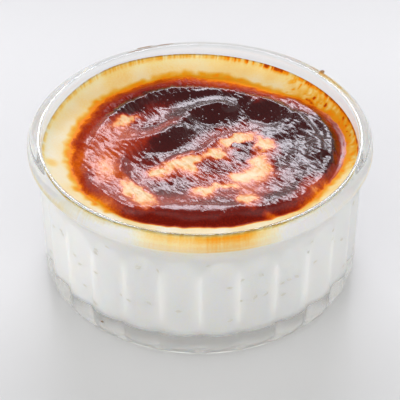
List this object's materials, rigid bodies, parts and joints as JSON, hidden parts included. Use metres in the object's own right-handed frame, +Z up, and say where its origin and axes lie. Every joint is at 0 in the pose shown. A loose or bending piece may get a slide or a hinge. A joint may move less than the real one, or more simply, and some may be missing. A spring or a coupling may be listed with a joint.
{
  "type": "baked rice pudding in glass ramekin",
  "caption": "Baked rice pudding with a dark caramelised skin, set in the round ribbed clear glass ramekin that it was baked in.",
  "frame": {"origin": "middle of the dish's flat underside", "axes": "+Z up out of the dish, -Y towards the side that the picture was taken from"},
  "size_m": [0.102, 0.102, 0.0468],
  "materials": {
    "clear_glass": "clear, smooth and glossy pressed glass",
    "rice_pudding": "soft cream body under a dark brown glossy caramelised skin"
  },
  "bodies": {
    "root": {"ramekin": "clear_glass", "pudding": "rice_pudding"}
  },
  "joints": []
}
